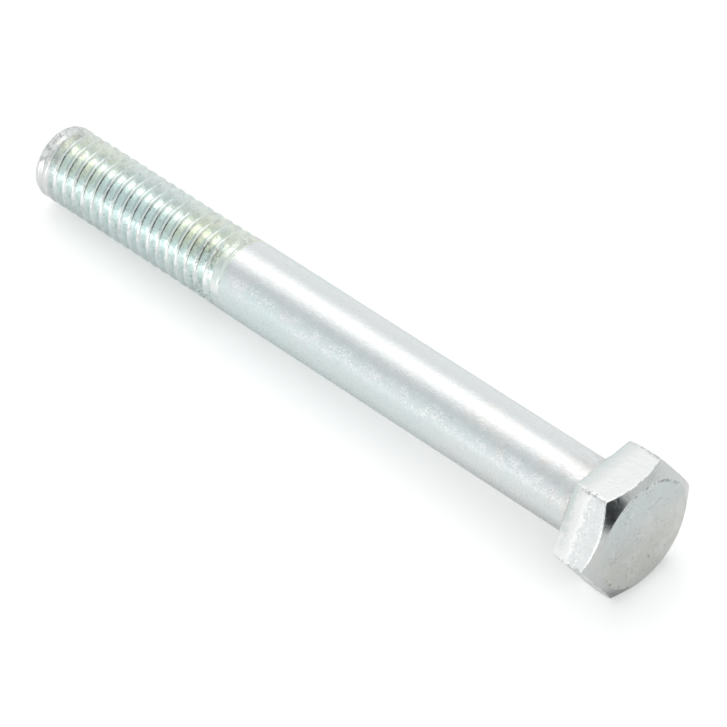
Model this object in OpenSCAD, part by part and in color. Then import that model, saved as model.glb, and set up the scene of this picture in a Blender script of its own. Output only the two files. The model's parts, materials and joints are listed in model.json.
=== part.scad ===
// Hexagon head bolt with a plain shank and a rolled thread at its end, used as an axle.
// The origin is the centre of the bearing face, on the bolt's axis.
// +X runs from the bearing face along the shank to the point.
// The bolt lies on one flat of its head: +Z is up, square to the top flat.
// Two corners of the hexagon point along +Y and -Y.

/* [Head] */
// Width across the flats of the hexagon
across_flats = 9.8; // [9:0.1:12]
// Height of the whole head, washer face included
head_height = 4; // [3:0.1:6]
// Diameter of the round end face inside the chamfer
end_face_d = 8.85; // [7.5:0.05:9.6]
// Slope of the chamfer, measured from the end face
chamfer_angle = 33; // [15:1:40]
// Diameter of the washer face, the round step that bears on the work
washer_face_d = 8.9; // [7.8:0.1:9]
// Height of the washer face
washer_face_h = 0.3; // [0.1:0.05:0.6]

/* [Shank] */
// Length from the bearing face to the end of the point
length = 55; // [30:1:120]
// Diameter of the plain shank
shank_d = 6; // [5:0.1:6.6]
// Radius of the fillet between the bearing face and the shank
fillet_r = 0.25; // [0.1:0.05:0.5]

/* [Thread] */
// Distance from one thread crest to the next
pitch = 1; // [0.7:0.05:1.25]
// Length of the threaded end, point included and run-out left out
thread_length = 18; // [8:0.5:24]
// How far the thread fades out into the shank
run_out = 1.8; // [0.5:0.1:3]
// How much smaller the crest diameter is than the shank
crest_allowance = 0.05; // [0:0.01:0.2]

/* [Point] */
// Diameter of the end of the point
point_d = 5.6; // [4:0.1:5.8]
// Length of the cone from the crests down to the end
point_length = 0.4; // [0.2:0.05:1.2]
// How far the thread fades out at the point
point_fade = 1.5; // [0.5:0.1:3]

/* [Hidden] */
$fn = 96;

across_corners = across_flats / cos(30);
shank_r = shank_d / 2;
crest_r = shank_r - crest_allowance / 2;
full_thread_start = length - thread_length;
run_out_start = full_thread_start - run_out;

// Groove of a metric thread: flanks 60 degrees apart, 0.6134 pitches deep,
// and a flat crest an eighth of a pitch wide between one turn and the next
flank_angle = 30;
groove_depth = 0.6134 * pitch;
crest_flat = pitch / 8;
// The groove's cutter reaches this far past the crests, where its turns still miss each other
cutter_reach = pitch / 16;
turn_facets = 24;
// Where the groove begins, turned from straight down
groove_start_angle = 42;

// How far one solid reaches into the next, and a cut reaches past its work
lap = 0.2;

// Turns a profile of (distance from the axis, distance along it) into a solid around +X
module turned() {
    rotate([0, 90, 0]) rotate_extrude() children();
}

// Six flats, two of them facing up and down
module hexagon() {
    translate([-head_height, 0, 0]) rotate([0, 90, 0]) rotate(30)
        cylinder(d = across_corners, h = head_height - washer_face_h, $fn = 6);
}

// Round body that takes the hexagon's corners off at the end face
module chamfer_body() {
    outer_r = across_corners / 2 + lap;
    chamfer_depth = (outer_r - end_face_d / 2) * tan(chamfer_angle);
    turned() polygon([
        [0, -head_height],
        [end_face_d / 2, -head_height],
        [outer_r, chamfer_depth - head_height],
        [outer_r, lap - washer_face_h],
        [0, lap - washer_face_h]
    ]);
}

module washer_face() {
    translate([-washer_face_h - lap, 0, 0]) rotate([0, 90, 0])
        cylinder(d = washer_face_d, h = washer_face_h + lap);
}

module hexagon_head() {
    intersection() {
        hexagon();
        chamfer_body();
    }
    washer_face();
}

// Quarter-round ring where the shank meets the bearing face
module fillet() {
    turned() difference() {
        translate([shank_r - lap, -lap]) square([lap + fillet_r, lap + fillet_r]);
        translate([shank_r + fillet_r, fillet_r]) circle(r = fillet_r);
    }
}

// Plain shank, the slight step down to the crest diameter, and the cone of the point
module shank_blank() {
    turned() polygon([
        [0, -lap],
        [shank_r, -lap],
        [shank_r, run_out_start],
        [crest_r, full_thread_start],
        [crest_r, length - point_length],
        [point_d / 2, length],
        [0, length]
    ]);
}

// How far the groove has risen out of the bolt at a distance along it:
// not at all along the full thread, and wholly at both of its ends
function groove_rise(along) = (groove_depth + cutter_reach) * max(
    0,
    (full_thread_start - along) / run_out,
    (along - length + point_fade) / point_fade
);

// Corners of the groove's section, as (distance from the axis, distance along it)
function groove_section(along) = let(
    crest = crest_r + groove_rise(along),
    half_gap = (pitch - crest_flat) / 2,
    half_top = half_gap + cutter_reach * tan(flank_angle),
    half_root = half_gap - groove_depth * tan(flank_angle)
) [
    [crest + cutter_reach, along - half_top],
    [crest - groove_depth, along - half_root],
    [crest - groove_depth, along + half_root],
    [crest + cutter_reach, along + half_top]
];

// Right-hand helical groove between the crests, swept from the run-out to the point
module thread_groove() {
    steps = ceil((length - run_out_start) / pitch * turn_facets);
    corners = len(groove_section(length));
    points = [
        for (i = [0:steps])
            let (turn = groove_start_angle + i * 360 / turn_facets)
            for (p = groove_section(run_out_start + i * pitch / turn_facets))
                [p[0] * cos(turn), p[0] * sin(turn), p[1]]
    ];
    sides = [
        for (i = [0:steps - 1], j = [0:corners - 1])
            let (a = i * corners + j, b = i * corners + (j + 1) % corners)
            each [[a, b + corners, b], [a, a + corners, b + corners]]
    ];
    start_cap = [for (j = [0:corners - 1]) j];
    end_cap = [for (j = [corners - 1:-1:0]) steps * corners + j];
    rotate([0, 90, 0]) polyhedron(points, concat(sides, [start_cap, end_cap]), convexity = 20);
}

module threaded_shank() {
    difference() {
        shank_blank();
        thread_groove();
    }
}

module bolt() {
    color([0.80, 0.84, 0.88]) union() {
        hexagon_head();
        fillet();
        threaded_shank();
    }
}

bolt();
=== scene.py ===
"""A bright zinc-plated hexagon head axle bolt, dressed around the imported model, with its floor and light."""

import json
import math

import bmesh
import bpy
from mathutils import Matrix, Vector, noise


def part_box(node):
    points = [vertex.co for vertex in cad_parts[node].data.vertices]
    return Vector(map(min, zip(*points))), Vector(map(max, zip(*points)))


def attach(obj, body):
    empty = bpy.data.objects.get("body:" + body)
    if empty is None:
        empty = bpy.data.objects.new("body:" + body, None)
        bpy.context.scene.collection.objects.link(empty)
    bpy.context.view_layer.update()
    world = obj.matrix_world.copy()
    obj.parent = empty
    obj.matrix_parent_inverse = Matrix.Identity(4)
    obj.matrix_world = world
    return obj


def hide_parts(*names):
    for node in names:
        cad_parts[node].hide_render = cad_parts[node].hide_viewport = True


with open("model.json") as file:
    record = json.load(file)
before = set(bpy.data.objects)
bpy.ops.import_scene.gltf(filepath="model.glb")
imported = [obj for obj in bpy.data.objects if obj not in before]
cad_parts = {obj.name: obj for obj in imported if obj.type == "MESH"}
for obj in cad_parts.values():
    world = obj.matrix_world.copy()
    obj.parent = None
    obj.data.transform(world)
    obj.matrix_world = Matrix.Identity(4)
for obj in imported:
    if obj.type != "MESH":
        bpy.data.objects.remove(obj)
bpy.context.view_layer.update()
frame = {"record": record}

# Sizes in millimetres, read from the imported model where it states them
MM = 0.001
low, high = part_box("bolt")
mounts = {mount["name"]: mount for mount in frame["record"]["mounts"]}
END_FACE_X = low[0] / MM
LENGTH = high[0] / MM
HALF_FLATS = high[2] / MM
SHANK_R = mounts["shank"]["dims"]["r_mm"]
CREST_R = mounts["thread"]["dims"]["r_mm"]
FULL_THREAD_X = LENGTH - mounts["thread"]["dims"]["length_mm"]

# The head's end, its washer face and the fillet, as in the part's source
END_FACE_R = 4.425
CHAMFER_SLOPE = math.tan(math.radians(33))
WASHER_R = 4.45
WASHER_X = -0.3
FILLET_R = 0.25

# The thread and the point, as in the part's source
PITCH = 1.0
RUN_OUT = 1.8
GROOVE_DEPTH = 0.6134 * PITCH
GROOVE_RISE = GROOVE_DEPTH + PITCH / 16
CREST_FLAT = PITCH / 8
FLANK_SLOPE = math.tan(math.radians(30))
GROOVE_START_ANGLE = math.radians(42 - 90)
POINT_R = 2.8
POINT_LENGTH = 0.4
POINT_FADE = 1.5

# Small forms that forging, rolling and tumbling leave, inside the solid's outline
CORNER_ROUNDING = 0.17
END_FACE_ROUNDING = 0.12
CHAMFER_ROUNDING = 0.12
REAR_ROUNDING = 0.12
WASHER_ROUNDING = 0.06
POINT_ROUNDING = 0.1
DIE_ROLL_REACH = 1.35
DIE_ROLL_DROP = 0.15
DIE_ROLL_CURVE = 1.5
END_FACE_DISH = 0.03
POINT_DISH = 0.12
CREST_ROUNDING = 0.07
ROOT_ROUNDING = 0.11

# How much smaller the thread is than the solid's
THREAD_ALLOWANCE = 0.008

# Waves in the thread's surface: height, how close they lie along the bolt and around it, and a start.
# As a whole they go inwards, and in the groove they are lower
WAVES = [(0.012, 0.35, 2.1, 0.0), (0.012, 2.6, 5.5, 11.0), (0.006, 5.0, 12.0, 3.0)]
WAVES_INWARDS = 0.015
WAVES_IN_THE_GROOVE = 0.4

# How far down the flanks the rolling dies have burnished them, and how much that line wanders
BURNISHED_DEPTH = 0.16
BURNISHED_WANDER = 0.16
ROOT_DEPTH = 0.56

# Columns around the axis: a few close together on each rounded corner, and the rest even along each flat.
# Those on a corner reach a little past its rounding
COLUMNS_ON_A_FLAT = 22
COLUMNS_ON_A_CORNER = 5
CORNER_REACH = 1.02

# Pieces of an arc on the head, in the thread and at the point, and rings on the end of the point
HEAD_ARC_STEPS = 4
THREAD_ARC_STEPS = 2
POINT_ARC_STEPS = 4
POINT_RINGS = 8

# Points of the mesh that are closer than this become one
WELD_REACH = 0.0008 * MM


def column_angles():
    """Angles from +Y towards +Z, one turn, with the first repeated as the last."""
    across_corners_r = HALF_FLATS / math.cos(math.radians(30))
    half_corner = CORNER_REACH * CORNER_ROUNDING * math.sin(math.radians(30)) / across_corners_r
    angles = []
    for corner in range(6):
        middle = math.radians(60 * corner)
        for i in range(COLUMNS_ON_A_CORNER):
            angles.append(middle + half_corner * (2 * i / (COLUMNS_ON_A_CORNER - 1) - 1))
        flat_start = middle + half_corner
        flat_turn = math.radians(60) - 2 * half_corner
        for i in range(1, COLUMNS_ON_A_FLAT):
            angles.append(flat_start + flat_turn * i / COLUMNS_ON_A_FLAT)
    return angles + [angles[0] + 2 * math.pi]


def hexagon_r(angle):
    """Distance from the axis to the hexagon's side, with its corners rounded."""
    from_corner = (angle + math.pi / 6) % (math.pi / 3) - math.pi / 6
    flat = HALF_FLATS / math.cos(math.pi / 6 - abs(from_corner))
    centre = (HALF_FLATS - CORNER_ROUNDING) / math.cos(math.pi / 6)
    inside = CORNER_ROUNDING**2 - (centre * math.sin(from_corner)) ** 2
    if inside <= 0:
        return flat
    return min(flat, centre * math.cos(from_corner) + math.sqrt(inside))


def corner_arc(points, i, steps):
    """The arc that rounds one corner of a polyline, or the corner itself where its radius is 0."""
    x, y, radius = points[i][:3]
    here = Vector((x, y))
    if radius == 0 or i in (0, len(points) - 1):
        return [here]
    back = (Vector(points[i - 1][:2]) - here).normalized()
    ahead = (Vector(points[i + 1][:2]) - here).normalized()
    half = back.angle(ahead) / 2
    reach = radius / math.tan(half)
    middle = here + (back + ahead).normalized() * radius / math.sin(half)
    start = here + back * reach - middle
    end = here + ahead * reach - middle
    turn = start.angle(end)
    arc = []
    for k in range(steps + 1):
        a = math.sin(turn * (1 - k / steps)) / math.sin(turn)
        b = math.sin(turn * k / steps) / math.sin(turn)
        arc.append(middle + start * a + end * b)
    return arc


def rounded(points, steps):
    """A polyline with its corners rounded, as points of (x, y, finish).

    Each corner is given as (x, y, radius, pieces of the side ahead, finish of the side ahead).
    """
    corners = [corner_arc(points, i, steps) for i in range(len(points))]
    line = []
    for i, corner in enumerate(corners):
        pieces, finish = points[i][3:]
        arc_finish = "edge" if finish == "flats" and points[i - 1][4] == "chamfer" else finish
        line += [(point.x, point.y, arc_finish) for point in corner]
        if i + 1 < len(corners):
            line[-1] = (line[-1][0], line[-1][1], finish)
            for k in range(1, pieces):
                point = corner[-1].lerp(corners[i + 1][0], k / pieces)
                line.append((point.x, point.y, finish))
    return line


def head_line(angle, helix_start):
    """The head and the plain shank in one column, from the middle of the end face to the threaded stretch.

    Its points are (x, distance from the axis, finish).
    """
    side = hexagon_r(angle)
    chamfer_x = END_FACE_X + (side - END_FACE_R) * CHAMFER_SLOPE
    corners = [
        (END_FACE_X, 0.0, 0, 12, "end_face"),
        (END_FACE_X, END_FACE_R, END_FACE_ROUNDING, 5, "chamfer"),
        (chamfer_x, side, CHAMFER_ROUNDING, 20, "flats"),
        (WASHER_X, side, REAR_ROUNDING, 4, "flats"),
        (WASHER_X, WASHER_R, WASHER_ROUNDING / 2, 1, "shank"),
        (0.0, WASHER_R, WASHER_ROUNDING, 4, "shank"),
        (0.0, SHANK_R, FILLET_R, 44, "shank"),
        (helix_start, SHANK_R, 0, 1, "shank"),
    ]
    shaped = []
    for x, r, finish in rounded(corners, HEAD_ARC_STEPS):
        on_hexagon = r > WASHER_R + WASHER_ROUNDING
        on_end_face = x < END_FACE_X + 0.01
        if on_hexagon:
            r -= DIE_ROLL_DROP * max(0.0, (x - WASHER_X) / DIE_ROLL_REACH + 1) ** DIE_ROLL_CURVE
        if on_end_face:
            x += END_FACE_DISH * max(0.0, 1 - (r / END_FACE_R) ** 2)
        shaped.append((x, r, finish))
    return shaped


def thread_stations():
    """(distance from the groove's middle, depth) across one pitch, from one crest's middle to the next."""
    half_gap = (PITCH - CREST_FLAT) / 2
    half_root = half_gap - GROOVE_DEPTH * FLANK_SLOPE
    corners = [
        (-PITCH / 2, 0.0, 0, 1, ""),
        (-half_gap, 0.0, CREST_ROUNDING, 4, ""),
        (-half_root, GROOVE_DEPTH, ROOT_ROUNDING, 1, ""),
        (half_root, GROOVE_DEPTH, ROOT_ROUNDING, 4, ""),
        (half_gap, 0.0, CREST_ROUNDING, 1, ""),
        (PITCH / 2, 0.0, 0, 1, ""),
    ]
    return [(offset, depth) for offset, depth, _ in rounded(corners, THREAD_ARC_STEPS)[:-1]]


def depth_at(stations, offset):
    """Groove depth between two stations."""
    next_crest = (stations[0][0] + PITCH, stations[0][1])
    for (a, depth_a), (b, depth_b) in zip(stations, stations[1:] + [next_crest]):
        if a <= offset <= b:
            return depth_a + (depth_b - depth_a) * (offset - a) / max(b - a, 1e-9)
    return 0.0


def thread_share(x):
    """How far the thread has come out of the shank at x: 0 on the plain shank, 1 on the full thread."""
    return min(1.0, max(0.0, (x - FULL_THREAD_X + RUN_OUT) / RUN_OUT))


def blank_r(x):
    """Distance from the axis to the surface before the groove is rolled in."""
    body = SHANK_R + (CREST_R - SHANK_R) * thread_share(x)
    cone = POINT_R + (CREST_R - POINT_R) * (LENGTH - x) / POINT_LENGTH
    return min(body, cone)


def groove_rise(x):
    """How far the groove has risen out of the surface at x: not at all on the full thread."""
    return GROOVE_RISE * max(0.0, (FULL_THREAD_X - x) / RUN_OUT, (x - LENGTH + POINT_FADE) / POINT_FADE)


def unevenness(x, angle, depth):
    """Small unevenness of the rolled thread, in millimetres: more at the crests."""
    y, z = math.cos(angle), math.sin(angle)
    waves = 0.0
    for height, along, around, start in WAVES:
        waves += height * noise.noise(Vector((x * along + start, y * around, z * around)))
    share = 1.0 if depth < GROOVE_DEPTH / 2 else WAVES_IN_THE_GROOVE
    return thread_share(x) * share * (waves - WAVES_INWARDS)


def thread_finish(x, angle, depth):
    """The crests and the upper part of the flanks are burnished, along a line that wanders."""
    y, z = math.cos(angle), math.sin(angle)
    wander = noise.noise(Vector((x * 1.3 + 5, y * 5, z * 5)))
    wander += 0.6 * noise.noise(Vector((x * 4.1, y * 14, z * 14 + 3)))
    if x > LENGTH - POINT_LENGTH:
        return "point"
    if depth > ROOT_DEPTH:
        return "root"
    return "crest" if depth < BURNISHED_DEPTH + BURNISHED_WANDER * wander else "flank"


def thread_grid(angles, helix_start, helix_end):
    """The threaded stretch, as points of (x, distance from the axis, finish) for each column.

    Rows follow the helix and stop at flat ends.
    """
    stations = thread_stations()
    first = math.floor(helix_start / PITCH) - 2
    last = math.ceil(helix_end / PITCH) + 1
    phase = (FULL_THREAD_X - RUN_OUT) % PITCH
    columns = []
    for angle in angles:
        shift = PITCH * (angle - GROOVE_START_ANGLE) / (2 * math.pi)
        column = []
        for turn in range(first, last):
            for i, (offset, depth) in enumerate(stations):
                x = turn * PITCH + phase + shift + offset
                if x < helix_start:
                    column.append((helix_start, SHANK_R, "shank"))
                    continue
                stop = min(x, helix_end)
                if stop < x:
                    depth = depth_at(stations, (stop - phase - shift + PITCH / 2) % PITCH - PITCH / 2)
                cut = max(0.0, depth - groove_rise(stop))
                ease = THREAD_ALLOWANCE * min(1.0, max(0.0, stop - helix_start))
                r = blank_r(stop) - cut - ease + unevenness(stop, angle, depth)
                middle = (depth + stations[(i + 1) % len(stations)][1]) / 2 - groove_rise(stop)
                rolled = stop > FULL_THREAD_X - RUN_OUT
                finish = thread_finish(stop, angle, middle) if rolled else "shank"
                column.append((stop, r, finish))
        columns.append(column)
    return columns


def point_line(r):
    """The rounded edge and the dished end of the point, as points of (x, distance from the axis, finish)."""
    line = []
    for k in range(1, POINT_ARC_STEPS + 1):
        turn = math.radians(90 * k / POINT_ARC_STEPS)
        x = LENGTH - POINT_ROUNDING * (1 - math.sin(turn))
        line.append((x, r - POINT_ROUNDING * (1 - math.cos(turn)), "point"))
    edge = r - POINT_ROUNDING
    for ring in range(POINT_RINGS - 1, -1, -1):
        share = ring / POINT_RINGS
        line.append((LENGTH - POINT_DISH * (1 - share**2), edge * ring / POINT_RINGS, "point"))
    return line


def build_bolt():
    """The whole bolt as one closed mesh, head to point, in columns around the axis."""
    angles = column_angles()
    helix_start = FULL_THREAD_X - RUN_OUT - PITCH
    helix_end = LENGTH - POINT_ROUNDING
    columns = []
    for angle, thread in zip(angles, thread_grid(angles, helix_start, helix_end)):
        columns.append(head_line(angle, helix_start)[:-1] + thread + point_line(thread[-1][1]))
    rows = len(columns[0])
    vertices = []
    for angle, column in zip(angles, columns):
        for x, r, _ in column:
            vertices.append((x * MM, r * math.cos(angle) * MM, r * math.sin(angle) * MM))
    order = list(ZINC)
    faces = []
    finishes = []
    for j in range(len(angles) - 1):
        for i in range(rows - 1):
            a, b = j * rows + i, (j + 1) * rows + i
            faces.append((a, a + 1, b + 1, b))
            finishes.append(order.index(columns[j][i][2]))
    mesh = bpy.data.meshes.new("zinc_plated_bolt")
    mesh.from_pydata(vertices, [], faces)
    mesh.polygons.foreach_set("material_index", finishes)
    mesh.update()
    bolt = bpy.data.objects.new("zinc_plated_bolt", mesh)
    bpy.context.scene.collection.objects.link(bolt)
    weld(bolt)
    return bolt


def weld(piece):
    """Joins the seam and the rows that meet at the ends, and drops the faces that have no area."""
    shape = bmesh.new()
    shape.from_mesh(piece.data)
    bmesh.ops.remove_doubles(shape, verts=shape.verts, dist=WELD_REACH)
    bmesh.ops.dissolve_degenerate(shape, edges=shape.edges, dist=WELD_REACH)
    bmesh.ops.recalc_face_normals(shape, faces=shape.faces)
    shape.to_mesh(piece.data)
    shape.free()


class Nodes:
    """Adds shader nodes to a tree and links them in one call each."""

    def __init__(self, tree):
        self.tree = tree
        tree.nodes.clear()

    def add(self, kind, inputs=None, **settings):
        """A node with its inputs set to values or linked to other nodes' outputs."""
        node = self.tree.nodes.new(kind)
        for name, value in settings.items():
            setattr(node, name, value)
        for name, value in (inputs or {}).items():
            self.put(node.inputs[name], value)
        return node

    def put(self, socket, value):
        """Links an output to the socket, or sets the socket to a constant."""
        if isinstance(value, bpy.types.NodeSocket):
            self.tree.links.new(value, socket)
        else:
            socket.default_value = value

    def maths(self, operation, a, b=0.0):
        """Result of one operation on numbers."""
        return self.add("ShaderNodeMath", {0: a, 1: b}, operation=operation).outputs[0]

    def times(self, product, *others):
        """Product of two or more numbers."""
        for other in others:
            product = self.maths("MULTIPLY", product, other)
        return product

    def apart(self, a, b):
        """How far two numbers are apart."""
        return self.maths("ABSOLUTE", self.maths("SUBTRACT", a, b))

    def vector(self, operation, a, b=(0.0, 0.0, 0.0)):
        """A node for one operation on vectors."""
        return self.add("ShaderNodeVectorMath", {0: a, 1: b}, operation=operation)

    def dot(self, a, b):
        """Dot product of two vectors."""
        return self.vector("DOT_PRODUCT", a, b).outputs["Value"]

    def noise(self, place, scale, detail=2.0, roughness=0.5, distortion=0.0):
        """Noise at a place, from 0 to 1."""
        inputs = {
            "Vector": place,
            "Scale": scale,
            "Detail": detail,
            "Roughness": roughness,
            "Distortion": distortion,
        }
        return self.add("ShaderNodeTexNoise", inputs).outputs["Fac"]

    def ramp(self, value, low_in, high_in, low_out=0.0, high_out=1.0):
        """A smooth step from one number to another as the value goes from low_in to high_in."""
        inputs = {
            "Value": value,
            "From Min": low_in,
            "From Max": high_in,
            "To Min": low_out,
            "To Max": high_out,
        }
        return self.add("ShaderNodeMapRange", inputs, interpolation_type="SMOOTHSTEP").outputs["Result"]

    def blend(self, share, a, b):
        """Blend of two colours."""
        node = self.add("ShaderNodeMix", data_type="RGBA")
        for socket, value in ((node.inputs[0], share), (node.inputs[6], a), (node.inputs[7], b)):
            self.put(socket, value)
        return node.outputs[2]

    def mix(self, share, a, b):
        """Blend of two numbers."""
        return self.maths("ADD", a, self.times(share, self.maths("SUBTRACT", b, a)))


# Colours of the plating and of the marks on it
COOL = (0.785, 0.865, 0.862, 1)
PALE = (0.825, 0.925, 0.912, 1)
STRAW = (0.855, 0.895, 0.785, 1)
DULL = (0.50, 0.52, 0.52, 1)
# Dark grey for grime in the corners' nicks, and for painted shade on the edge.
GRIME_AND_SHADE = (0.42, 0.43, 0.43, 1)
SCRATCH = (0.42, 0.44, 0.44, 1)
WHITE = (1.0, 1.0, 1.0, 1)


class Zinc:
    """Zinc plating: a metal whose colour, gloss and bump heights are layered one after another."""

    def __init__(self, name, colour=None):
        self.material = bpy.data.materials.new("zinc_" + name)
        self.material.use_nodes = True
        self.n = Nodes(self.material.node_tree)
        place = self.n.add("ShaderNodeTexCoord").outputs["Object"]
        self.place = self.n.vector("MULTIPLY", place, (1 / MM,) * 3).outputs[0]
        parts = self.n.add("ShaderNodeSeparateXYZ", {0: self.place})
        self.x, self.y, self.z = (parts.outputs[axis] for axis in "XYZ")
        self.colour = colour
        self.gloss = None
        self.height = None

    def noise(self, scale, detail=2.0, roughness=0.5, distortion=0.0):
        """Noise at the surface, from 0 to 1. The scale is in waves a millimetre."""
        return self.n.noise(self.place, scale, detail, roughness, distortion)

    def across(self):
        """From the bolt's axis straight out to the surface."""
        return self.n.add("ShaderNodeCombineXYZ", {"Y": self.y, "Z": self.z}).outputs[0]

    def from_axis(self):
        """Distance from the bolt's axis."""
        return self.n.vector("LENGTH", self.across()).outputs["Value"]

    def outwards(self):
        """The direction away from the bolt's axis."""
        return self.n.vector("NORMALIZE", self.across()).outputs[0]

    def facing(self):
        """How far the direction away from the axis points sideways, and how far up."""
        parts = self.n.add("ShaderNodeSeparateXYZ", {0: self.outwards()})
        return parts.outputs["Y"], parts.outputs["Z"]

    def paint(self, colour, share):
        """Blends another colour over the colour so far."""
        self.colour = self.n.blend(share, self.colour, colour)

    def tint(self, colour, share, scale, start, full, mask=None):
        """Soft patches of another colour, wherever noise of that scale passes from start to full."""
        patches = self.n.times(self.n.ramp(self.noise(scale, 3.0, 0.55, 0.5), start, full), share)
        if mask is not None:
            patches = self.n.times(patches, mask)
        self.paint(colour, patches)

    def rough(self, middle, spread, scale):
        """Roughness that drifts around a middle value."""
        drift = self.noise(scale, 4.0, 0.6)
        self.gloss = self.n.ramp(drift, 0.32, 0.68, middle - spread, middle + spread)

    def bump(self, value, micrometres):
        """Adds a height to the surface."""
        height = self.n.times(value, micrometres)
        self.height = height if self.height is None else self.n.maths("ADD", self.height, height)

    def peel(self, scale, micrometres, detail=2.0):
        """Rounded unevenness, like orange peel."""
        self.bump(self.noise(scale, detail, 0.5, 0.2), micrometres)

    def pits(self, scale, micrometres, start, full):
        """Small round pits in some areas."""
        inputs = {"Vector": self.place, "Scale": scale, "Randomness": 1.0}
        cells = self.n.add("ShaderNodeTexVoronoi", inputs).outputs["Distance"]
        area = self.n.ramp(self.noise(1.1, 2.0, 0.5), start, full)
        self.bump(self.n.times(self.n.ramp(cells, 0.05, 0.36, -1.0, 0.0), area), micrometres)

    def along(self, scale, micrometres, stretch):
        """Fine lines along the axis, as drawing leaves them."""
        place = self.n.vector("MULTIPLY", self.place, (stretch, 1.0, 1.0)).outputs[0]
        self.bump(self.n.noise(place, scale, 3.0, 0.6), micrometres)

    def finish(self):
        """The material, with every layer in it."""
        inputs = {"Height": self.height, "Distance": 0.001 * MM, "Strength": 1.0}
        bump = self.n.add("ShaderNodeBump", inputs).outputs["Normal"]
        inputs = {"Base Color": self.colour, "Roughness": self.gloss, "Normal": bump, "Metallic": 1.0}
        shader = self.n.add("ShaderNodeBsdfPrincipled", inputs).outputs["BSDF"]
        self.n.add("ShaderNodeOutputMaterial", {"Surface": shader})
        return self.material


def zinc_shank():
    """Neutral on top, cooler below and towards the thread, with painted shade below and near the head, and
    bright crazing with painted glints.
    """
    zinc = Zinc("shank", (0.86, 0.872, 0.876, 1))
    n, x, y, z = zinc.n, zinc.x, zinc.y, zinc.z
    up = zinc.facing()[1]
    cool_side = n.times(n.ramp(up, 0.92, 0.70, 0.15, 1.0), n.ramp(x, 0.0, 36.0, 0.35, 1.0))
    zinc.tint((0.765, 0.862, 0.862, 1), 1.0, 0.22, 0.26, 0.54, cool_side)
    zinc.tint((0.90, 0.875, 0.83, 1), 0.45, 0.45, 0.50, 0.64, n.ramp(x, 4.0, 20.0, 1.0, 0.1))
    # Painted shade on the lower side, darkest near the head.
    painted_shade_below = n.times(n.ramp(x, 3.0, 18.0, 0.66, 0.22), n.ramp(z, 0.6, -1.3))
    zinc.paint((0.62, 0.64, 0.635, 1), painted_shade_below)
    # Painted shade in the fillet just under the head.
    zinc.paint((0.50, 0.51, 0.50, 1), n.ramp(x, 0.15, 0.9, 0.45, 0.0))
    # Blotchy painted shade that dims the upper side just behind the head.
    blotches = n.ramp(zinc.noise(0.9, 3.0, 0.6), 0.35, 0.6)
    painted_shade_near_head = n.times(n.ramp(x, 0.8, 5.0, 0.5, 0.0), blotches, n.ramp(z, 0.2, 1.6))
    zinc.paint((0.66, 0.64, 0.60, 1), painted_shade_near_head)
    zinc.tint(DULL, 0.10, 1.3, 0.58, 0.74)
    zinc.tint(DULL, 0.4, 3.4, 0.66, 0.72)
    # Crazing lines painted white: faint everywhere, and as painted glints in a band a little above the middle
    # of the side towards +Y.
    glint_band = n.times(n.ramp(n.apart(z, 1.75), 0.25, 0.75, 1.0, 0.0), n.ramp(y, 0.0, 1.0))
    lines = n.ramp(n.apart(zinc.noise(2.1, 2.0, 0.6, 1.4), 0.5), 0.012, 0.05, 1.0, 0.0)
    areas = n.ramp(zinc.noise(0.9, 2.0, 0.5), 0.43, 0.56)
    crazing_and_glints = n.times(lines, areas, n.maths("MAXIMUM", glint_band, 0.12))
    zinc.paint(WHITE, crazing_and_glints)
    zinc.rough(0.255, 0.05, 1.7)
    zinc.peel(1.1, 17.0)
    zinc.peel(3.2, 12.0)
    zinc.peel(6.5, 6.0)
    zinc.bump(crazing_and_glints, 9.0)
    zinc.pits(4.6, 7.0, 0.45, 0.62)
    zinc.peel(12.0, 3.0, 3.0)
    zinc.along(9.0, 2.0, 0.06)
    return zinc.finish()


def straw_ends(zinc):
    """A straw tint on the upper side of the thread at both ends, which reaches further in from the point."""
    middle = (FULL_THREAD_X + LENGTH) / 2 - 0.8
    ends = zinc.n.ramp(zinc.n.apart(zinc.x, middle), 1.6, 6.0)
    upper = zinc.n.ramp(zinc.z, 1.4, 2.5, 0.08, 1.0)
    zinc.tint(STRAW, 1.0, 0.6, 0.25, 0.55, zinc.n.times(ends, upper))


def run_out_specks(zinc):
    """Dark specks where the thread begins: on its upper side, and low down on its side towards +Y."""
    n = zinc.n
    near = n.ramp(n.apart(zinc.x, FULL_THREAD_X + 0.5), 0.4, 1.7, 1.0, 0.0)
    high_or_low = n.maths("ADD", n.ramp(zinc.z, 1.0, 1.8), n.ramp(zinc.z, 0.4, -0.3))
    mask = n.times(near, high_or_low, n.ramp(zinc.y, 0.2, 1.4, 0.1, 1.0))
    zinc.tint((0.33, 0.34, 0.33, 1), 0.7, 3.4, 0.54, 0.62, mask)


def point_skin(zinc):
    """Pale skin of the point, rough and speckled on its upper side."""
    n = zinc.n
    upper = n.ramp(zinc.z, 1.3, 2.1, 0.05, 1.0)
    zinc.colour = (0.86, 0.87, 0.865, 1)
    zinc.height = None
    zinc.tint(STRAW, 0.4, 0.7, 0.45, 0.62, upper)
    zinc.tint((0.62, 0.63, 0.62, 1), 0.7, 1.5, 0.44, 0.60, upper)
    zinc.tint((0.30, 0.32, 0.32, 1), 0.6, 3.2, 0.55, 0.65, upper)
    zinc.rough(0.20, 0.04, 2.4)
    zinc.gloss = n.maths("ADD", zinc.gloss, n.times(upper, 0.13))
    zinc.bump(n.times(zinc.noise(2.6, 3.0, 0.6, 0.4), n.ramp(zinc.z, 1.3, 2.1, 0.3, 1.0)), 32.0)
    zinc.peel(8.0, 4.0, 3.0)


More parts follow.
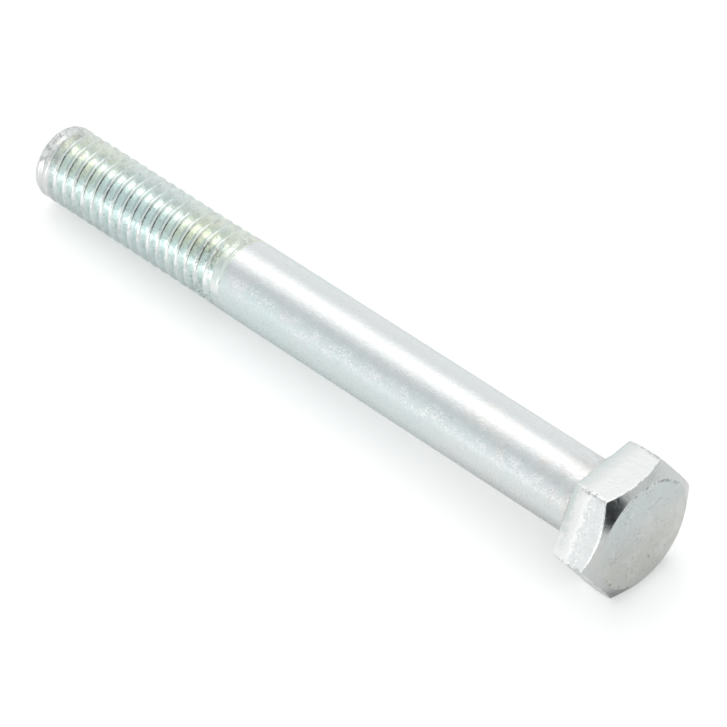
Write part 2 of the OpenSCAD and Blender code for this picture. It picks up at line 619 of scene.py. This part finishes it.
def tip_wear(zinc):
    """The last turn runs out into the skin of the point."""
    n = zinc.n
    colour, gloss, height = zinc.colour, zinc.gloss, zinc.height
    point_skin(zinc)
    wander = n.ramp(zinc.noise(1.2, 3.0, 0.6), 0.3, 0.7, -0.5, 0.5)
    tip = n.ramp(n.maths("ADD", zinc.x, wander), LENGTH - 2.1, LENGTH - 0.95)
    zinc.colour = n.blend(tip, colour, zinc.colour)
    zinc.gloss = n.mix(tip, gloss, zinc.gloss)
    zinc.height = n.mix(tip, height, zinc.height)


def zinc_crest():
    """Burnished crests, with a painted highlight a little above halfway down their sides and painted shade
    above and below it.
    """
    zinc = Zinc("crest")
    up = zinc.facing()[1]
    # Painted highlight low on the sides, with painted shade above it and lowest down.
    zinc.colour = zinc.n.blend(zinc.n.ramp(up, 0.38, 0.54), (0.965, 0.998, 0.99, 1), (0.805, 0.90, 0.865, 1))
    zinc.paint((0.76, 0.85, 0.845, 1), zinc.n.ramp(up, 0.24, 0.12))
    straw_ends(zinc)
    zinc.tint(DULL, 0.38, 1.3, 0.50, 0.62)
    run_out_specks(zinc)
    zinc.rough(0.16, 0.06, 0.9)
    zinc.peel(4.0, 12.0)
    zinc.peel(10.0, 3.0, 3.0)
    tip_wear(zinc)
    return zinc.finish()


def zinc_flank():
    """Pale flanks, with a painted highlight on top, and painted shade towards -Y and low down."""
    zinc = Zinc("flank", PALE)
    sideways, up = zinc.facing()
    # Painted highlight on top, and painted shade towards -Y and low down.
    zinc.paint((0.92, 0.975, 0.945, 1), zinc.n.ramp(up, 0.955, 0.99))
    zinc.paint((0.775, 0.84, 0.83, 1), zinc.n.ramp(sideways, -0.02, -0.12))
    zinc.paint((0.73, 0.84, 0.83, 1), zinc.n.ramp(up, 0.14, 0.0))
    straw_ends(zinc)
    zinc.tint(DULL, 0.3, 2.6, 0.56, 0.68)
    run_out_specks(zinc)
    zinc.rough(0.20, 0.05, 2.4)
    zinc.peel(2.6, 26.0)
    zinc.peel(10.0, 5.0, 3.0)
    tip_wear(zinc)
    return zinc.finish()


def zinc_root():
    """Roots with painted shade in a band high on either side, and lighter elsewhere."""
    zinc = Zinc("root")
    # Painted shade in a band high on either side.
    from_painted_shade = zinc.n.ramp(zinc.n.apart(zinc.facing()[1], 0.82), 0.11, 0.18)
    zinc.colour = zinc.n.blend(from_painted_shade, (0.53, 0.63, 0.62, 1), (0.87, 0.935, 0.905, 1))
    zinc.tint((0.58, 0.66, 0.68, 1), 0.3, 1.7, 0.48, 0.62)
    zinc.tint(DULL, 0.4, 3.0, 0.5, 0.7)
    zinc.rough(0.15, 0.08, 0.9)
    zinc.peel(4.0, 12.0)
    tip_wear(zinc)
    return zinc.finish()


def zinc_point():
    """The skin of the point, and the sheared end with its duller, dented middle."""
    zinc = Zinc("point")
    point_skin(zinc)
    sheared = zinc.n.ramp(zinc.from_axis(), 2.65, 2.35)
    zinc.tint((0.64, 0.67, 0.67, 1), 0.7, 0.8, 0.40, 0.58, sheared)
    zinc.tint((0.42, 0.44, 0.43, 1), 0.6, 2.4, 0.56, 0.66, sheared)
    zinc.bump(zinc.n.times(zinc.noise(1.4, 3.0, 0.6, 0.3), sheared), 60.0)
    return zinc.finish()


def zinc_flats():
    """The six flats: those on the sides have a worn ridge with specks, and the corners have dark nicks."""
    zinc = Zinc("flats", (0.80, 0.815, 0.81, 1))
    n = zinc.n
    ridge_x = -1.7
    zinc.tint(DULL, 0.10, 1.6, 0.58, 0.74)
    on_side = n.ramp(n.maths("ABSOLUTE", zinc.y), 2.5, 3.0)
    wander = n.ramp(zinc.noise(1.6, 3.0, 0.6), 0.3, 0.7, -0.2, 0.2)
    x = n.maths("ADD", zinc.x, wander)
    zinc.paint((0.73, 0.79, 0.775, 1), n.ramp(x, ridge_x + 0.3, -0.4, 0.0, 0.85))
    from_ridge = n.apart(x, ridge_x)
    ridge = n.ramp(from_ridge, 0.08, 0.30, 1.0, 0.0)
    pale_zone = n.ramp(n.apart(x, ridge_x + 0.35), 0.1, 0.8, 0.85, 0.0)
    specks = n.ramp(zinc.noise(4.2, 2.0, 0.5), 0.54, 0.59)
    specks = n.times(specks, n.ramp(from_ridge, 0.3, 1.3, 0.95, 0.12))
    level = n.maths("ADD", n.maths("ABSOLUTE", zinc.z), n.times(wander, 3.0))
    low_end = n.times(n.ramp(level, 2.4, 0.6, 0.0, 1.0), n.ramp(x, ridge_x - 0.1, ridge_x + 0.2))
    worn = n.maths("MAXIMUM", n.maths("MAXIMUM", ridge, specks), n.maths("MAXIMUM", pale_zone, low_end))
    zinc.paint((0.99, 0.99, 0.98, 1), n.times(worn, on_side))
    corner = n.ramp(zinc.from_axis(), 5.50, 5.60)
    nicks = n.times(corner, n.ramp(zinc.noise(3.2, 3.0, 0.6), 0.46, 0.56))
    zinc.paint(GRIME_AND_SHADE, n.times(nicks, 0.6))
    zinc.rough(0.28, 0.06, 1.7)
    zinc.peel(2.0, 9.0)
    zinc.peel(6.0, 5.0)
    zinc.pits(3.4, 8.0, 0.52, 0.66)
    zinc.peel(12.0, 3.0, 3.0)
    return zinc.finish()


def zinc_edge():
    """The worn, bright roundings between flats and chamfer, with painted shade at the top of the side towards
    +Y.
    """
    zinc = Zinc("edge", (0.93, 0.94, 0.94, 1))
    zinc.tint(DULL, 0.7, 1.8, 0.50, 0.62)
    # Painted shade that dims the rounding at the top of the side towards +Y.
    painted_shade_on_top = zinc.n.times(zinc.n.ramp(zinc.y, 2.85, 2.95), zinc.n.ramp(zinc.z, 2.6, 3.8), 0.75)
    zinc.paint(GRIME_AND_SHADE, painted_shade_on_top)
    zinc.rough(0.24, 0.05, 2.4)
    zinc.peel(3.0, 20.0)
    zinc.peel(9.0, 4.0, 3.0)
    return zinc.finish()


def zinc_chamfer():
    """A smoother and greyer turned face, with painted shade below."""
    zinc = Zinc("chamfer", (0.67, 0.68, 0.665, 1))
    zinc.tint(COOL, 0.2, 0.5, 0.42, 0.62)
    zinc.tint(DULL, 0.25, 1.4, 0.52, 0.70)
    # Painted shade, deepening towards the bottom.
    zinc.paint((0.30, 0.31, 0.305, 1), zinc.n.ramp(zinc.z, -1.6, -4.3, 0.0, 0.93))
    zinc.rough(0.17, 0.03, 1.7)
    zinc.peel(1.3, 16.0)
    zinc.peel(7.0, 3.0, 3.0)
    return zinc.finish()


def scale_pits(zinc):
    """Where scale has left pits: in a broken ring inside the chamfer, above and low down towards +Y."""
    n = zinc.n
    ring = n.ramp(n.apart(zinc.from_axis(), END_FACE_R - 0.12), 0.07, 0.20, 1.0, 0.0)
    broken = n.ramp(zinc.noise(3.4, 2.0, 0.6), 0.50, 0.62)
    way = zinc.outwards()
    above = n.ramp(n.dot(way, (0, -0.26, 0.966)), 0.62, 0.80)
    below = n.ramp(n.dot(way, (0, 0.83, -0.558)), 0.93, 0.97)
    return n.times(ring, broken, n.maths("MAXIMUM", above, below))


def scratches(zinc, slants):
    """Faint straight scratches, in one direction for each slant."""
    n = zinc.n
    for number, slant in enumerate(slants):
        run = n.dot(zinc.place, slant)
        side = n.dot(zinc.place, (0, -slant[2], slant[1]))
        stretched = {"X": n.times(run, 0.35), "Y": n.times(side, 3.2), "Z": 7.0 * number}
        place = n.add("ShaderNodeCombineXYZ", stretched).outputs[0]
        scratch = n.ramp(n.noise(place, 1.0, 2.0, 0.5), 0.705, 0.735)
        zinc.paint(SCRATCH, n.times(scratch, 0.35))
        zinc.bump(scratch, -4.0)


def zinc_end_face():
    """Duller than the rest, cooler above, with scratches, fine cracks and scale pits."""
    zinc = Zinc("end_face")
    n = zinc.n
    zinc.colour = n.blend(n.ramp(zinc.z, -1.5, 3.0), (0.67, 0.675, 0.64, 1), (0.675, 0.725, 0.73, 1))
    zinc.tint((0.62, 0.65, 0.66, 1), 0.3, 0.4, 0.44, 0.62)
    zinc.tint((0.82, 0.83, 0.81, 1), 0.4, 0.6, 0.50, 0.66)
    zinc.tint(DULL, 0.35, 2.0, 0.60, 0.70)
    zinc.tint((0.30, 0.31, 0.31, 1), 0.7, 3.4, 0.67, 0.71)
    scratches(zinc, [(0, 0.35, 1.5), (0, 1.6, -0.3), (0, 0.9, 1.1)])
    lines = n.ramp(n.apart(zinc.noise(0.8, 2.0, 0.6, 1.2), 0.5), 0.004, 0.014, 1.0, 0.0)
    cracks = n.times(lines, n.ramp(zinc.noise(0.55, 1.0, 0.5), 0.56, 0.62))
    zinc.paint((0.36, 0.37, 0.36, 1), n.times(cracks, 0.6))
    zinc.bump(cracks, -8.0)
    pitted = scale_pits(zinc)
    zinc.paint((0.20, 0.21, 0.20, 1), n.times(pitted, 0.8))
    zinc.rough(0.25, 0.04, 1.2)
    zinc.peel(0.5, 45.0)
    zinc.peel(2.2, 9.0)
    zinc.peel(5.0, 5.0)
    zinc.pits(2.0, 22.0, 0.58, 0.66)
    zinc.peel(11.0, 2.0, 3.0)
    zinc.bump(pitted, -16.0)
    return zinc.finish()


# What makes each finish, in the order of the mesh's material slots
ZINC = {
    "shank": zinc_shank,
    "crest": zinc_crest,
    "flank": zinc_flank,
    "root": zinc_root,
    "flats": zinc_flats,
    "edge": zinc_edge,
    "chamfer": zinc_chamfer,
    "end_face": zinc_end_face,
    "point": zinc_point,
}


def dress(bolt):
    """Gives each stretch of the bolt its own finish, and smooths its shading."""
    for make in ZINC.values():
        bolt.data.materials.append(make())
    bolt.data.shade_smooth()
    weighted = bolt.modifiers.new("face_weighted_normals", "WEIGHTED_NORMAL")
    weighted.weight = 90


# Soft patches of the studio around the bolt: azimuth, elevation, half width, half height and lean in degrees,
# the share of that within which the patch is full, and its colour
PATCHES = [
    (-21, 56, 36, 29.5, 0, 0.25, (1.22, 1.215, 1.20, 1)),
    (107, 2.4, 53, 19, 0, 0.68, (1.70, 1.72, 1.72, 1)),
    (-142, 8, 32, 24, 0, 0.5, (0.72, 0.74, 0.74, 1)),
    (-50, 66, 24, 15, 0, 0.5, (1.65, 1.65, 1.62, 1)),
    (45, 43, 30, 26, 0, 0.2, (0.62, 0.65, 0.66, 1)),
    (177, 6.5, 21, 31.5, 22, 0.34, (0.025, 0.028, 0.033, 1)),
]


def soft_patch(n, way, azimuth, elevation, half_width, half_height, lean, full):
    """Share of one patch in the light that comes from a direction."""
    a, e, tip = math.radians(azimuth), math.radians(elevation), math.radians(lean)
    middle = Vector((math.cos(e) * math.cos(a), math.cos(e) * math.sin(a), math.sin(e)))
    left = Vector((-math.sin(a), math.cos(a), 0.0))
    top = middle.cross(left)
    sideways = left * math.cos(tip) - top * math.sin(tip)
    upwards = left * math.sin(tip) + top * math.cos(tip)
    across = n.maths("DIVIDE", n.dot(way, sideways), math.sin(math.radians(half_width)))
    along = n.maths("DIVIDE", n.dot(way, upwards), math.sin(math.radians(half_height)))
    distance = n.maths("SQRT", n.maths("ADD", n.times(across, across), n.times(along, along)))
    ahead = n.maths("GREATER_THAN", n.dot(way, middle), 0.0)
    return n.times(n.ramp(distance, full, 1.0, 1.0, 0.0), ahead)


def build_world():
    """A white studio: pale walls, soft boxes overhead, a bright side and a dark opening past the head."""
    world = bpy.data.worlds.new("studio")
    bpy.context.scene.world = world
    world.use_nodes = True
    n = Nodes(world.node_tree)
    way = n.add("ShaderNodeTexCoord").outputs["Generated"]
    height = n.add("ShaderNodeSeparateXYZ", {0: way}).outputs["Z"]
    light = n.blend(n.ramp(height, -0.1, 0.9), (0.86, 0.88, 0.89, 1), (0.78, 0.80, 0.81, 1))
    for *outline, colour in PATCHES:
        light = n.blend(soft_patch(n, way, *outline), light, colour)
    seen = n.blend(n.add("ShaderNodeLightPath").outputs["Is Camera Ray"], light, WHITE)
    background = n.add("ShaderNodeBackground", {"Color": seen, "Strength": 1.0})
    n.add("ShaderNodeOutputWorld", {"Surface": background.outputs[0]})


def floor_material():
    """Pale satin, with a glow of its own that only the camera and the bolt's reflections see."""
    material = bpy.data.materials.new("pale_floor")
    material.use_nodes = True
    n = Nodes(material.node_tree)
    inputs = {"Base Color": (0.90, 0.895, 0.885, 1), "Roughness": 0.3}
    satin = n.add("ShaderNodeBsdfPrincipled", inputs).outputs[0]
    path = n.add("ShaderNodeLightPath")
    camera_share = n.times(path.outputs["Is Camera Ray"], 0.34)
    glossy_share = n.times(path.outputs["Is Glossy Ray"], 0.07)
    inputs = {"Color": WHITE, "Strength": n.maths("ADD", camera_share, glossy_share)}
    glow = n.add("ShaderNodeEmission", inputs).outputs[0]
    both = n.add("ShaderNodeAddShader", {0: satin, 1: glow}).outputs[0]
    n.add("ShaderNodeOutputMaterial", {"Surface": both})
    return material


def build_floor():
    """A floor that touches the head's lowest flat and the last crest, as the bolt lies."""
    gap = 0.00001
    rear_x = WASHER_X - DIE_ROLL_REACH
    crest_x = LENGTH - POINT_LENGTH
    slope = math.atan((HALF_FLATS - CREST_R) / (crest_x - rear_x))
    near, far = -0.10, 0.9
    mesh = bpy.data.meshes.new("floor")
    mesh.from_pydata([(near, -far, 0), (far, -far, 0), (far, far, 0), (near, far, 0)], [], [(0, 1, 2, 3)])
    floor = bpy.data.objects.new("floor", mesh)
    bpy.context.scene.collection.objects.link(floor)
    touch = Vector((rear_x * MM, 0, -HALF_FLATS * MM - gap))
    floor.matrix_world = Matrix.Translation(touch) @ Matrix.Rotation(-slope, 4, "Y")
    floor.data.materials.append(floor_material())


def build_camera():
    """The photograph's view, from above and beside the head, along the shank."""
    data = bpy.data.cameras.new("camera")
    data.sensor_width = 36.0
    data.lens = 262.47
    data.clip_start = 0.01
    data.clip_end = 10.0
    camera = bpy.data.objects.new("camera", data)
    bpy.context.scene.collection.objects.link(camera)
    right = Vector((-0.715465, -0.695949, -0.061357))
    up = Vector((0.46214, -0.537299, 0.705504))
    back = right.cross(up)
    place = Vector((-177.781, 182.876, 269.950)) * MM
    turn = Matrix((right, up, back)).transposed().to_4x4()
    camera.matrix_world = Matrix.Translation(place) @ turn
    bpy.context.scene.camera = camera


build_camera()
build_world()
build_floor()
bolt = build_bolt()
dress(bolt)
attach(bolt, "root")
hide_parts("bolt")

bpy.context.scene.view_settings.view_transform = "Standard"
